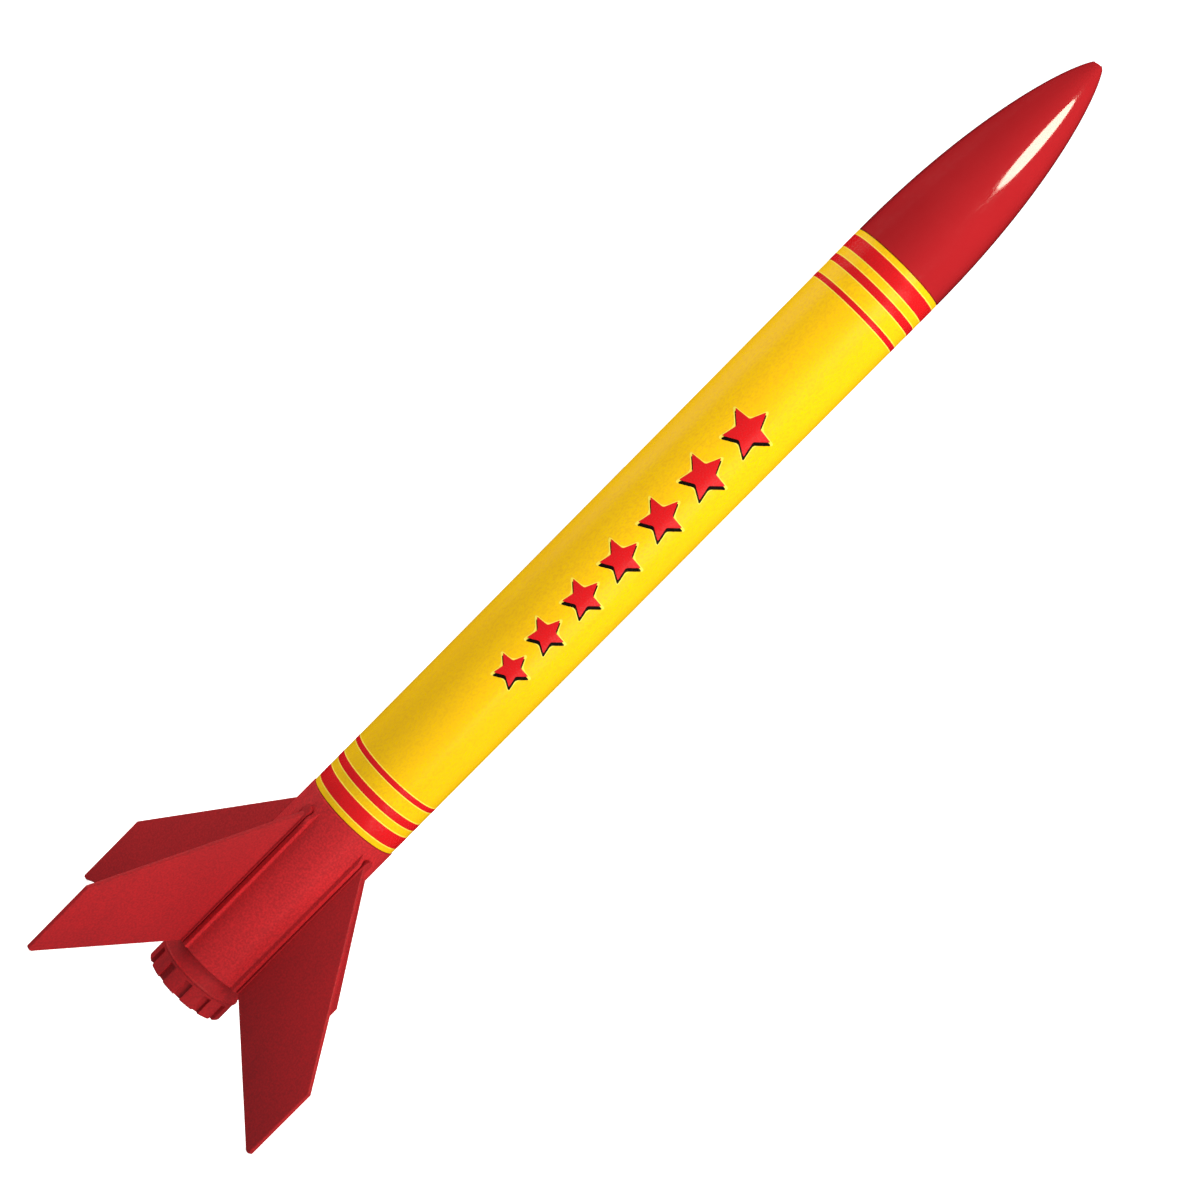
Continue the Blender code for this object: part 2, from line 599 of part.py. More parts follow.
def make_shroud_lines():
    """Three looped lines, wrapped round the rolled canopy and led through the swivel's far eye."""
    turns = 5
    per_turn = 12
    radius = 0.0126
    low, high = TUBE_AFT + 0.1297, TUBE_AFT + 0.1867
    leads = (
        (packed(0.0115, 0.0051, 0.1902), packed(0.0099, 0.0062, 0.1952), packed(0.0098, 0.0042, 0.2007),
         packed(0.00999, 0.0016, 0.2052), packed(0.00999, -0.0016, 0.2052)),
        (packed(-0.0102, 0.0074, 0.1902), packed(-0.0102, 0.0027, 0.1955), packed(-0.003, -0.0022, 0.1969),
         packed(0.0045, -0.0044, 0.1993), packed(0.00917, -0.0016, 0.2057), packed(0.00917, 0.0016, 0.2057)),
        (packed(-0.0013, -0.0125, 0.1902), packed(0.0035, -0.0106, 0.1951), packed(0.0076, -0.0066, 0.1991),
         packed(0.00917, -0.0016, 0.2047), packed(0.00917, 0.0016, 0.2047)),
    )
    for number, lead in enumerate(leads):
        wrap = []
        for i in range(turns * per_turn + 1):
            share = i / (turns * per_turn)
            wrap.append(polar(radius, 120.0 * number + 360.0 * turns * share, low + (high - low) * share))
        route = wrap[:-1] + smooth_route([wrap[-1], *lead], 3)
        cord(f"shroud_line_{number + 1}", "line_white", route, LINE_RADIUS)


def wire_loop(name, points, wire):
    """Closed loop of round wire, as a mesh."""
    curve = bpy.data.curves.new(name, "CURVE")
    curve.dimensions = "3D"
    curve.bevel_depth = wire
    curve.bevel_resolution = 2
    spline = curve.splines.new("POLY")
    spline.points.add(len(points) - 1)
    spline.use_cyclic_u = True
    for target, point in zip(spline.points, points):
        target.co = (*point, 1.0)
    holder = bpy.data.objects.new(name, curve)
    mesh = bpy.data.meshes.new_from_object(holder)
    bpy.data.objects.remove(holder, do_unlink=True)
    return mesh


def make_swivel():
    """Swivel lying across the tube above the canopy, and the snap hook from its eye to the cord."""
    half = SWIVEL_LENGTH / 2
    neck = 0.55 * SWIVEL_RADIUS
    swivel = lathe("swivel", "swivel_brass", [
        (0.0, -half), (neck, -half), (neck, -0.72 * half), (SWIVEL_RADIUS, -0.45 * half),
        (SWIVEL_RADIUS, 0.45 * half), (neck, 0.72 * half), (neck, half), (0.0, half)], sides=18)
    swivel.rotation_euler = (0.0, math.radians(90), 0.0)
    swivel.location = (SWIVEL_X, 0.0, SWIVEL_Z)
    reach = half + SWIVEL_EYE_RADIUS - 1.6 * SWIVEL_WIRE
    for side, name in ((-1, "near_eye_tool"), (1, "far_eye_tool")):
        middle = Vector((SWIVEL_X + side * reach, 0.0, SWIVEL_Z))
        ring = [middle + SWIVEL_EYE_RADIUS * Vector((math.cos(turn), 0.0, math.sin(turn)))
                for turn in (2 * math.pi * (i + 0.3) / 16 for i in range(16))]
        combine(swivel, add_object(name, wire_loop(name, ring, SWIVEL_WIRE)), "UNION")

    bend = SNAP_WIDTH / 2
    far = SWIVEL_X - reach - bend
    near = far - SNAP_LENGTH + 2 * bend
    outline = []
    for centre, first in ((far, -90.0), (near, 90.0)):
        for i in range(9):
            turn = math.radians(first + 22.5 * i)
            outline.append(Vector((centre + bend * math.cos(turn), bend * math.sin(turn), SWIVEL_Z)))
    add_object("snap_hook", wire_loop("snap_hook", outline, SNAP_WIRE), "snap_steel")


def main():
    clear_scene()
    make_nose()
    make_plug()
    make_body_tube()
    make_launch_lug()
    make_fin_can()
    make_fins()
    make_tail_ring()
    make_motor_mount()
    make_anchor()
    make_canopy()
    make_shock_cord()
    make_shroud_lines()
    make_swivel()


main()
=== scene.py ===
"""Looks of the model rocket: its paper, plastic, cloth and cord pieces, laid over the fixed frame."""
import math

import bmesh
import bpy
from mathutils import Matrix, Vector


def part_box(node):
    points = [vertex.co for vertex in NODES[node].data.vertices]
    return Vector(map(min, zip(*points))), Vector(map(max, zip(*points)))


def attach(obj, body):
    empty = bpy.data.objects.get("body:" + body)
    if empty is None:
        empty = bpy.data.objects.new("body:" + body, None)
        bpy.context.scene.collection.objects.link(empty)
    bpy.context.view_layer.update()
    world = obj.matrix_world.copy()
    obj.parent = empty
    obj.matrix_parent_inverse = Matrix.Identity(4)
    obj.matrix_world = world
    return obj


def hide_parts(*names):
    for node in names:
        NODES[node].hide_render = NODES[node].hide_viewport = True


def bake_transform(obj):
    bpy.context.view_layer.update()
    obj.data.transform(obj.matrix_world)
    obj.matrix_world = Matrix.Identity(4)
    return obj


bl_info = {
    "name": "Model Rocket Builder",
    "version": (1, 0, 0),
    "blender": (4, 5, 0),
    "location": "View3D > Sidebar > Rocket",
    "description": "Builds a model rocket with a packed parachute, piece by piece",
    "category": "Add Mesh",
}

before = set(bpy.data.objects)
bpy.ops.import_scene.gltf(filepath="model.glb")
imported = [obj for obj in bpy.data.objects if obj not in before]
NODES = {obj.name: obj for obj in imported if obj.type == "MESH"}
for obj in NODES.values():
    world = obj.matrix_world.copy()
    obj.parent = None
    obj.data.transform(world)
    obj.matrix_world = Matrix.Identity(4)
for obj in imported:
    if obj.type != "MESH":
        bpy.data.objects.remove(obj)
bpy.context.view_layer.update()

MM = 0.001
# Points closer than this are welded.
WELD = 0.002 * MM
POLYSTYRENE_IOR = 1.59
AIRFRAME = "airframe"
NOSE = "nose"
LOCK_RING = "lock_ring"
FINS = ("fin_front_left", "fin_front_right", "fin_back_right", "fin_back_left")
AXIS = Vector((0.0, 0.0, 1.0))

TUBE_LOW, TUBE_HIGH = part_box("body_tube")
NOSE_LOW, NOSE_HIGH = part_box("nose_cone")
CANOPY_LOW, CANOPY_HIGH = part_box("parachute_canopy")
TUBE_AFT = TUBE_LOW.z
TUBE_FRONT = TUBE_HIGH.z
TUBE_RADIUS = TUBE_HIGH.x

# Walls of the wound tubes, the pressed rings and the moulded nose.
TUBE_WALL = 0.5 * MM
LUG_WALL = 0.4 * MM
MOUNT_WALLS = {"motor_tube": 0.5 * MM, "thrust_ring": 2.2 * MM, "centring_ring": 5.3 * MM}
NOSE_WALL = 1.5 * MM
# How far up the nose its hollow reaches, as a share of its length.
HOLLOW_SHARE = 0.72
# Printed bands: where each starts and ends, from the tube's end.
BANDS = ((2.2 * MM, 7.4 * MM), (10.6 * MM, 13.5 * MM), (18.9 * MM, 20.8 * MM))
# Where the row of stars lies, above the tube's aft end, and how many rings of faces it is cut into.
GRAPHIC_LOW, GRAPHIC_HIGH = 60 * MM, 195 * MM
GRAPHIC_RINGS = 54
# A star's inner corners, as a share of its radius.
STAR_WAIST = 0.47
CORD_RADIUS = 0.9 * MM
THREAD_RADIUS = 0.35 * MM
FILM_THICKNESS = 0.16 * MM
# The shroud lines' turns round the canopy, and their lowest and highest points above the tube's aft end.
WRAP_TURNS = 5
WRAP_LOW = 129.7 * MM
WRAP_HIGH = 186.7 * MM
STAGE_RADIUS = 9.0


# ---- Shared helpers ----
def linear(colour):
    """Linear colour from an sRGB hex code. A colour that is linear already passes through."""
    if not isinstance(colour, str):
        return list(colour)
    channels = [int(colour[i:i + 2], 16) / 255 for i in (1, 3, 5)]
    return [c / 12.92 if c <= 0.04045 else ((c + 0.055) / 1.055) ** 2.4 for c in channels] + [1.0]


def prop(name):
    return getattr(bpy.context.scene.rocket, name)


def fill(material, node, inputs):
    """Fill a node's inputs, named by their identifiers, with constants or other nodes' outputs."""
    for socket in node.inputs:
        value = inputs.get(socket.identifier)
        if isinstance(value, bpy.types.NodeSocket):
            material.node_tree.links.new(value, socket)
        elif value is not None:
            socket.default_value = value


def add_node(material, kind, inputs=None, output=0, **settings):
    """Add a node with its settings and inputs, and return one of its outputs."""
    node = material.node_tree.nodes.new("ShaderNode" + kind)
    for name, value in settings.items():
        setattr(node, name, value)
    fill(material, node, inputs or {})
    return node.outputs[output]


def new_material(name):
    material = bpy.data.materials.new(name)
    material.use_nodes = True
    return material


def surface(material, tone, colours, rough, roughness, height, depth, **sockets):
    """Close a material and return it.

    As tone goes from 0 to 1 the colour goes from the first to the second, rough does the same between the
    two roughnesses, and height is a relief of that depth in metres. Sockets are the shader's constants."""
    first, second = (colour if isinstance(colour, bpy.types.NodeSocket) else linear(colour)
                     for colour in colours)
    base = add_node(material, "Mix", {"Factor_Float": tone, "A_Color": first, "B_Color": second}, "Result",
                    data_type="RGBA")
    matt = add_node(material, "MapRange", {"Value": rough, "To Min": roughness[0], "To Max": roughness[1]})
    relief = add_node(material, "Bump", {"Height": height, "Distance": depth})
    shader = material.node_tree.nodes["Principled BSDF"]
    fill(material, shader, {"Base Color": base, "Roughness": matt, "Normal": relief})
    fill(material, shader, {name.replace("_", " "): value for name, value in sockets.items()})
    return material


def mottle(material, size, stretch=1.0, detail=3.0, spread=0.15):
    """Blotches from 0 to 1, about size across in metres and drawn out along the rocket by stretch."""
    place = add_node(material, "Mapping", {"Vector": add_node(material, "TexCoord", output="Object"),
                                           "Scale": (1.0, 1.0, 1.0 / stretch)})
    cloud = add_node(material, "TexNoise", {"Vector": place, "Scale": 1.0 / size, "Detail": detail})
    return add_node(material, "MapRange", {"Value": cloud, "From Min": 0.5 - spread,
                                           "From Max": 0.5 + spread})


def wound_seam(material, pitch, width):
    """1 on a spiral-wound ply, falling to 0 in the butt seam that climbs by pitch each turn."""
    place = add_node(material, "TexCoord", output="Object")
    parts = add_node(material, "SeparateXYZ", {"Vector": place}, "X").node.outputs
    angle = add_node(material, "Math", {"Value": parts["Y"], "Value_001": parts["X"]}, operation="ARCTAN2")
    turn = add_node(material, "Math", {"Value": angle, "Value_001": 2 * math.pi}, operation="DIVIDE")
    climb = add_node(material, "Math", {"Value": parts["Z"], "Value_001": pitch}, operation="DIVIDE")
    both = add_node(material, "Math", {"Value": turn, "Value_001": climb}, operation="ADD")
    phase = add_node(material, "Math", {"Value": both}, operation="FRACT")
    away = add_node(material, "Math", {"Value": phase, "Value_001": 0.5}, operation="SUBTRACT")
    away = add_node(material, "Math", {"Value": away}, operation="ABSOLUTE")
    return add_node(material, "MapRange", {"Value": away, "From Min": 0.5 - width / pitch, "From Max": 0.5,
                                           "To Min": 1.0, "To Max": 0.0})


def weighed(material, first, share, second):
    """First, plus a share of second."""
    return add_node(material, "Math", {"Value": second, "Value_001": share, "Value_002": first},
                    operation="MULTIPLY_ADD")


def deselect():
    if bpy.context.object and bpy.context.object.mode != "OBJECT":
        bpy.ops.object.mode_set(mode="OBJECT")
    bpy.ops.object.select_all(action="DESELECT")


def only(piece):
    """Make this the one selected and active object."""
    deselect()
    piece.select_set(True)
    bpy.context.view_layer.objects.active = piece


def joined(pieces):
    """Join the pieces into the first, and return it."""
    only(pieces[0])
    for piece in pieces:
        piece.select_set(True)
    bpy.ops.object.join()
    return pieces[0]


def edit(piece):
    only(piece)
    bpy.ops.object.mode_set(mode="EDIT")


def leave():
    bpy.ops.object.mode_set(mode="OBJECT")


def apply_modifier(piece, kind, **settings):
    modifier = piece.modifiers.new(kind.title(), kind)
    for name, value in settings.items():
        setattr(modifier, name, value)
    only(piece)
    bpy.ops.object.modifier_apply(modifier=modifier.name)


def settle(piece, name, material, smooth):
    """Name the piece, put its place in its mesh, give it its finish and smooth it up to an angle."""
    only(piece)
    piece.name = name
    piece.data.name = name
    bpy.ops.object.transform_apply(location=True, rotation=True, scale=True)
    piece.data.materials.clear()
    piece.data.materials.append(material)
    bpy.ops.object.shade_smooth_by_angle(angle=math.radians(smooth))
    return piece


def finish_piece(piece, body, node, slot):
    """Make the piece ride on a body and stand for a CAD node, if it does for one. The slot is not used."""
    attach(piece, body)
    if node:
        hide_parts(node)


def outline_piece(points):
    """A closed chain of edges: one vertex, extruded from point to point, with its ends joined."""
    deselect()
    bpy.ops.mesh.primitive_plane_add(size=MM, location=points[0])
    piece = bpy.context.object
    bpy.ops.object.transform_apply(location=True)
    edit(piece)
    bpy.ops.mesh.select_all(action="SELECT")
    bpy.ops.mesh.merge(type="CENTER")
    for near, far in zip(points, points[1:]):
        step = Vector(far) - Vector(near)
        bpy.ops.mesh.extrude_region_move(TRANSFORM_OT_translate={"value": step})
    shape = bmesh.from_edit_mesh(piece.data)
    shape.edges.new([vert for vert in shape.verts if len(vert.link_edges) == 1])
    bmesh.update_edit_mesh(piece.data)
    return piece


def turned(outline, sides):
    """Turn a closed outline of (radius, height) about the rocket's axis."""
    piece = outline_piece([(radius, 0.0, height) for radius, height in outline])
    bpy.ops.mesh.select_all(action="SELECT")
    bpy.ops.mesh.spin(steps=sides, angle=2 * math.pi, center=(0, 0, 0), axis=AXIS)
    bpy.ops.mesh.select_all(action="SELECT")
    bpy.ops.mesh.remove_doubles(threshold=WELD)
    bpy.ops.mesh.delete_loose(use_verts=True, use_edges=True, use_faces=False)
    bpy.ops.mesh.select_all(action="SELECT")
    bpy.ops.mesh.normals_make_consistent(inside=False)
    leave()
    return piece


def rounded(outline, radius, steps=3):
    """Round each corner of a closed outline, as far as its shorter side allows."""
    result = []
    count = len(outline)
    for i in range(count):
        before, corner, after = (Vector(outline[(i + d) % count]) for d in (-1, 0, 1))
        to_before, to_after = before - corner, after - corner
        reach = min(radius, 0.45 * to_before.length, 0.45 * to_after.length)
        straight = to_before.normalized().dot(to_after.normalized()) < -0.97
        if straight or corner.x < radius / 10:
            result.append(tuple(corner))
            continue
        first = corner + to_before.normalized() * reach
        last = corner + to_after.normalized() * reach
        for k in range(steps + 1):
            t = k / steps
            point = first * (1 - t) ** 2 + corner * 2 * t * (1 - t) + last * t ** 2
            result.append(tuple(point))
    return result


def softened_copy(node, name, material, width, smooth=28):
    """A welded copy of a moulded node, with its flat faces cleaned and its sharp edges rounded."""
    only(NODES[node])
    bpy.ops.object.duplicate()
    piece = bpy.context.object
    edit(piece)
    bpy.ops.mesh.select_all(action="SELECT")
    bpy.ops.mesh.remove_doubles(threshold=2 * WELD)
    bpy.ops.mesh.dissolve_limited(angle_limit=math.radians(0.4))
    leave()
    piece.modifiers.clear()
    bevel = {"width": width, "segments": 2, "limit_method": "ANGLE", "angle_limit": math.radians(32),
             "harden_normals": False, "use_clamp_overlap": True}
    apply_modifier(piece, "BEVEL", **bevel)
    return settle(piece, name, material, smooth)


def cord_mesh(name, points, radius, sides):
    """Round cord along a list of points, as a mesh with filled ends."""
    curve = bpy.data.curves.new(name, "CURVE")
    curve.dimensions = "3D"
    curve.bevel_depth = radius
    curve.bevel_resolution = sides // 2 - 2
    curve.use_fill_caps = True
    spline = curve.splines.new("POLY")
    spline.points.add(len(points) - 1)
    for target, point in zip(spline.points, points):
        target.co = (*point, 1.0)
    holder = bpy.data.objects.new(name, curve)
    bpy.context.scene.collection.objects.link(holder)
    only(holder)
    bpy.ops.object.convert(target="MESH")
    piece = bpy.context.object
    edit(piece)
    bpy.ops.mesh.select_all(action="SELECT")
    bpy.ops.mesh.remove_doubles(threshold=0.5 * WELD)
    bpy.ops.mesh.normals_make_consistent(inside=False)
    leave()
    return piece


def polar(radius, degrees, height):
    angle = math.radians(degrees)
    return Vector((radius * math.cos(angle), radius * math.sin(angle), height))


def packed(x, y, above_seam):
    """A point inside the body tube, by its height above the tube's aft end."""
    return Vector((x, y, TUBE_AFT + above_seam))


def smooth_route(points, per_span):
    """Points along a Catmull-Rom curve through the given points."""
    ends = [points[0] * 2 - points[1]] + points + [points[-1] * 2 - points[-2]]
    route = []
    for a, b, c, d in zip(ends, ends[1:], ends[2:], ends[3:]):
        for i in range(per_span):
            t = i / per_span
            route.append(0.5 * (2 * b + (c - a) * t + (2 * a - 5 * b + 4 * c - d) * t ** 2
                                + (3 * b - a - 3 * c + d) * t ** 3))
    return route + [points[-1]]


# ---- Finishes ----
def polished_polystyrene(name, colour):
    """Moulded and polished polystyrene: sharp reflections over a slow ripple, as thick mouldings shrink.

    A faint raised line runs along both sides, where the halves of the mould met."""
    material = new_material(name)
    cloud = mottle(material, 22 * MM, detail=2.0)
    # Fine rub marks along the nose lift the roughness here and there.
    rubs = mottle(material, 0.9 * MM, 5.5, detail=4.0)
    place = add_node(material, "TexCoord", output="Object")
    across = add_node(material, "SeparateXYZ", {"Vector": place}, "Y")
    away = add_node(material, "Math", {"Value": across}, operation="ABSOLUTE")
    mould_line = add_node(material, "MapRange", {"Value": away, "From Min": 0.05 * MM,
                                                 "From Max": 0.30 * MM, "To Min": 2.0, "To Max": 0.0})
    relief = weighed(material, mould_line, 0.25, mottle(material, 9 * MM, detail=1.0))
    return surface(material, cloud, (colour, "#b02228"), rubs, (0.07, 0.14), relief, 0.012 * MM,
                   IOR=POLYSTYRENE_IOR, Coat_Weight=0.9, Coat_Roughness=0.03)


def satin_polystyrene(name, colour, dark):
    """Satin moulded polystyrene: a spark-eroded grain that scatters the light, over faint flow marks."""
    material = new_material(name)
    fleck = mottle(material, 0.7 * MM, detail=5.0)
    flow = mottle(material, 14 * MM, 3.0)
    tone = weighed(material, weighed(material, 0.0, 0.2, flow), 0.8, fleck)
    # The real grain is about 0.05 mm; it is drawn at 0.35 mm so that it shows.
    grain = mottle(material, 0.35 * MM, detail=2.0)
    return surface(material, tone, (colour, dark), fleck, (0.42, 0.54), grain, 0.005 * MM,
                   IOR=POLYSTYRENE_IOR, Specular_IOR_Level=0.18)


def coated_yellow_paper():
    """Spiral-wound tube with a coated yellow paper face: a soft gloss, fine fibres and a faint butt seam."""
    colour = prop("tube_colour")
    material = new_material("yellow_coated_paper")
    cloud = mottle(material, 26 * MM)
    faded = add_node(material, "Mix", {"Factor_Float": cloud, "A_Color": linear(colour),
                                       "B_Color": linear("#fac904")}, "Result", data_type="RGBA")
    # Paper fibres are about 0.02 mm wide; they are drawn at 0.6 mm so that they show as a fine grain.
    grain = mottle(material, 0.6 * MM, 1.7, detail=2.0)
    relief = weighed(material, wound_seam(material, 62 * MM, 0.5 * MM), 0.08, grain)
    return surface(material, grain, (faded, "#f0bb07"), grain, (0.26, 0.36), relief, 0.01 * MM,
                   Specular_IOR_Level=0.28, Coat_Weight=0.04, Coat_Roughness=0.1)


def bare_paper(name, colour, dark, pitch, roughness=0.85):
    """Bare wound paper or board: matt, flecked with fibres, with the darker spiral seam of its ply."""
    material = new_material(name)
    fleck = mottle(material, 0.8 * MM, 4.0, detail=5.0)
    seam = wound_seam(material, pitch, 0.45 * MM)
    paper = add_node(material, "Mix", {"Factor_Float": fleck, "A_Color": linear(colour),
                                       "B_Color": linear(dark)}, "Result", data_type="RGBA")
    relief = weighed(material, seam, 0.25, fleck)
    return surface(material, seam, (dark, paper), fleck, (roughness - 0.05, roughness + 0.05), relief,
                   0.05 * MM, Specular_IOR_Level=0.25)


def printing_ink(name, colour, dark):
    """Gloss screen-printing ink on coated paper: an even film with a trace of the mesh in it."""
    material = new_material(name)
    film = mottle(material, 0.7 * MM)
    return surface(material, film, (colour, dark), film, (0.22, 0.30), film, 0.0004 * MM,
                   Specular_IOR_Level=0.3, Coat_Weight=0.1, Coat_Roughness=0.1)


def laid_cord(name, light, dark, lay, depth, sheen):
    """Cord of yarns laid across it at a slant, lay apart in metres: matt ridges, with painted shade in the
    valleys between them.
    """
    material = new_material(name)
    # A wave texture has about three bands to a unit of its scale.
    yarns = add_node(material, "TexWave", {"Vector": add_node(material, "TexCoord", output="Object"),
                                           "Scale": 0.3 / lay, "Distortion": 0.8, "Detail": 1.0},
                     wave_type="BANDS", bands_direction="DIAGONAL")
    fuzz = mottle(material, 0.3 * MM)
    relief = weighed(material, yarns, 0.2, fuzz)
    # Where the bands are low the colour goes to dark, which is painted shade in the valleys. Light is the
    # yarn's own colour.
    return surface(material, yarns, (dark, light), fuzz, (0.75, 0.9), relief, depth, Sheen_Weight=sheen)


def polythene_film():
    """Thin orange polythene film: a soft shine crossed by fine creases from the folding."""
    material = new_material("orange_polythene_film")
    creases = mottle(material, 3.5 * MM, 4.5, detail=5.0)
    return surface(material, creases, ("#f6952a", "#dc7412"), creases, (0.24, 0.38), creases, 0.06 * MM,
                   IOR=1.51, Specular_IOR_Level=0.45, Subsurface_Weight=0.08)


def bright_metal(name, colour, dark):
    """Turned or drawn metal: bright, with fine lines left by the tool."""
    material = new_material(name)
    lines = mottle(material, 0.25 * MM, 0.3)
    return surface(material, lines, (colour, dark), lines, (0.16, 0.32), lines, 0.003 * MM, Metallic=1.0)


def pressed_fibre():
    """Pressed brown fibreboard: dead matt and coarsely flecked."""
    material = new_material("pressed_fibreboard")
    fleck = mottle(material, 0.9 * MM, detail=5.0)
    return surface(material, fleck, ("#94785a", "#6f573d"), fleck, (0.85, 0.95), fleck, 0.04 * MM,
                   Specular_IOR_Level=0.2)


def glued_paper():
    """White writing paper stiffened with dried glue: matt, with slightly shiny, cockled patches."""
    material = new_material("glued_white_paper")
    glue = mottle(material, 4 * MM, detail=4.0)
    return surface(material, glue, ("#f0ece4", "#dcd5c6"), glue, (0.8, 0.5), glue, 0.04 * MM,
                   Specular_IOR_Level=0.35)


def dried_glue():
    """Dried white glue: milky, smooth and a little lumpy."""
    material = new_material("dried_white_glue")
    lumps = mottle(material, 2.4 * MM)
    return surface(material, lumps, ("#f1efe9", "#e2ded2"), lumps, (0.24, 0.40), lumps, 0.08 * MM,
                   Subsurface_Weight=0.1)


def lit_white(name, glow):
    """Even white cloth with light behind it, for the backdrop."""
    material = new_material(name)
    fill(material, material.node_tree.nodes["Principled BSDF"], {
        "Base Color": linear("#f4f4f4"), "Roughness": 0.9, "Specular IOR Level": 0.0,
        "Emission Color": linear("#ffffff"), "Emission Strength": glow})
    return material


# ---- Sizes and colours that a user may change ----
def colour_property(name, description, code):
    return bpy.props.FloatVectorProperty(name=name, description=description, subtype="COLOR", size=4,
                                         min=0.0, max=1.0, default=linear(code))


class RocketSettings(bpy.types.PropertyGroup):
    """Sizes and colours of the rocket's printed and visible pieces."""
    round_sides: bpy.props.IntProperty(name="Round Sides", description="Sides of the nose and the tube",
                                       default=128, min=32, max=256)
    tube_colour: colour_property("Tube Colour", "Coated paper face of the body tube", "#fccf04")
    nose_colour: colour_property("Nose Colour", "Polished nose cone", "#b4242a")
    can_colour: colour_property("Fin Can Colour", "Satin fin can", "#cc262c")
    fin_colour: colour_property("Fin Colour", "Satin fins and tail ring", "#b21e24")
    ink_colour: colour_property("Ink Colour", "Printed bands and stars", "#dc1a20")
    nose_fullness: bpy.props.FloatProperty(name="Nose Fullness", description="Power of the nose's profile",
                                           default=0.70, min=0.4, max=1.0)
    tip_radius: bpy.props.FloatProperty(name="Tip Radius", description="Rounding of the nose's tip",
                                        default=0.0024, unit="LENGTH", subtype="DISTANCE", precision=4)
    seam: bpy.props.FloatProperty(name="Seam", description="Gap between the nose or the can and the tube",
                                  default=0.0003, unit="LENGTH", subtype="DISTANCE", precision=5)
    ink_depth: bpy.props.FloatProperty(name="Ink Depth", description="Height of the print above the tube",
                                       default=0.00004, unit="LENGTH", subtype="DISTANCE", precision=5)
    star_radii: bpy.props.FloatVectorProperty(
        name="Star Radii", description="Radii of the row's stars, from the aft end", unit="LENGTH",
        size=7, precision=4, default=(0.0060, 0.0064, 0.0068, 0.0072, 0.0076, 0.0080, 0.0084))
    star_gap: bpy.props.FloatProperty(name="Star Gap", description="Gap between two stars of the row",
                                      default=0.0034, unit="LENGTH", subtype="DISTANCE", precision=4)
    edge_round: bpy.props.FloatProperty(name="Edge Round", description="Rounding of the moulded edges",
                                        default=0.00018, unit="LENGTH", subtype="DISTANCE", precision=5)


# ---- Airframe ----
class ROCKET_OT_nose(bpy.types.Operator):
    """Polished nose cone with its shoulder, hollow behind, and the plug with its tie loop"""
    bl_idname = "rocket.nose"
    bl_label = "Nose Cone"

    def execute(self, context):
        base = TUBE_FRONT + prop("seam")
        length = NOSE_HIGH.z - base
        shoulder = TUBE_RADIUS - 0.8 * MM
        tip = prop("tip_radius")
        sharp_length = length + 0.55 * tip

        def ogive(height):
            return TUBE_RADIUS * (1.0 - (height / sharp_length) ** 2) ** prop("nose_fullness")

        # The tip is a ball that just touches the inside of the sharp ogive.
        steps_down = [length - tip + tip * i / 400 for i in range(400)]
        touch = min(steps_down, key=lambda height: math.hypot(ogive(height), height - length + tip))
        ball = math.hypot(ogive(touch), touch - length + tip)

        def radius_at(share):
            height = length * share
            if height < touch:
                return ogive(height)
            return ball * math.sqrt(max(0.0, 1.0 - ((height - length + ball) / ball) ** 2))

        outer_steps, inner_steps = 52, 16
        shares = [math.sin(math.pi / 2 * i / outer_steps) for i in range(1, outer_steps)]
        outside = [(TUBE_RADIUS - 0.15 * MM, base), (TUBE_RADIUS, base + 0.15 * MM)]
        outside += [(radius_at(share), base + length * share) for share in shares] + [(0.0, base + length)]
        hollow = [(0.0, base + length * HOLLOW_SHARE)]
        for i in reversed(range(inner_steps)):
            share = HOLLOW_SHARE * i / inner_steps
            hollow.append((min(radius_at(share), shoulder) - NOSE_WALL, base + length * share))
        aft = NOSE_LOW.z
        bore = shoulder - NOSE_WALL
        skirt = [(bore, aft + 0.3 * MM), (bore + 0.3 * MM, aft), (shoulder - 0.9 * MM, aft),
                 (shoulder - 0.25 * MM, aft + 1.2 * MM), (shoulder, aft + 2.2 * MM), (shoulder, base)]
        piece = turned(outside + hollow + skirt, prop("round_sides"))
        red = polished_polystyrene("polished_red_polystyrene", prop("nose_colour"))
        settle(piece, "nose_cone_shell", red, 35)
        finish_piece(piece, NOSE, "nose_cone", "nose_red")
        satin = satin_polystyrene("satin_plug_polystyrene", "#b8242a", "#9c1c22")
        plug = softened_copy("nose_plug", "nose_plug_moulding", satin, 0.1 * MM)
        finish_piece(plug, NOSE, "nose_plug", "plug_red")
        return {"FINISHED"}


class ROCKET_OT_tube(bpy.types.Operator):
    """Body tube with its coated face and bare paper inside and at its cut ends"""
    bl_idname = "rocket.tube"
    bl_label = "Body Tube"

    def execute(self, context):
        bore = TUBE_RADIUS - TUBE_WALL
        outline = rounded([(TUBE_RADIUS, TUBE_AFT), (TUBE_RADIUS, TUBE_FRONT), (bore, TUBE_FRONT),
                           (bore, TUBE_AFT)], 0.10 * MM, 2)
        piece = turned(outline, prop("round_sides"))
        settle(piece, "body_tube_wound", coated_yellow_paper(), 35)
        piece.data.materials.append(bare_paper("white_inner_ply", "#e6dfd0", "#cfc5b2", 55 * MM))
        for face in piece.data.polygons:
            middle = face.center
            if math.hypot(middle.x, middle.y) < TUBE_RADIUS - 0.12 * MM:
                face.material_index = 1
        finish_piece(piece, AIRFRAME, "body_tube", "tube_yellow")
        return {"FINISHED"}


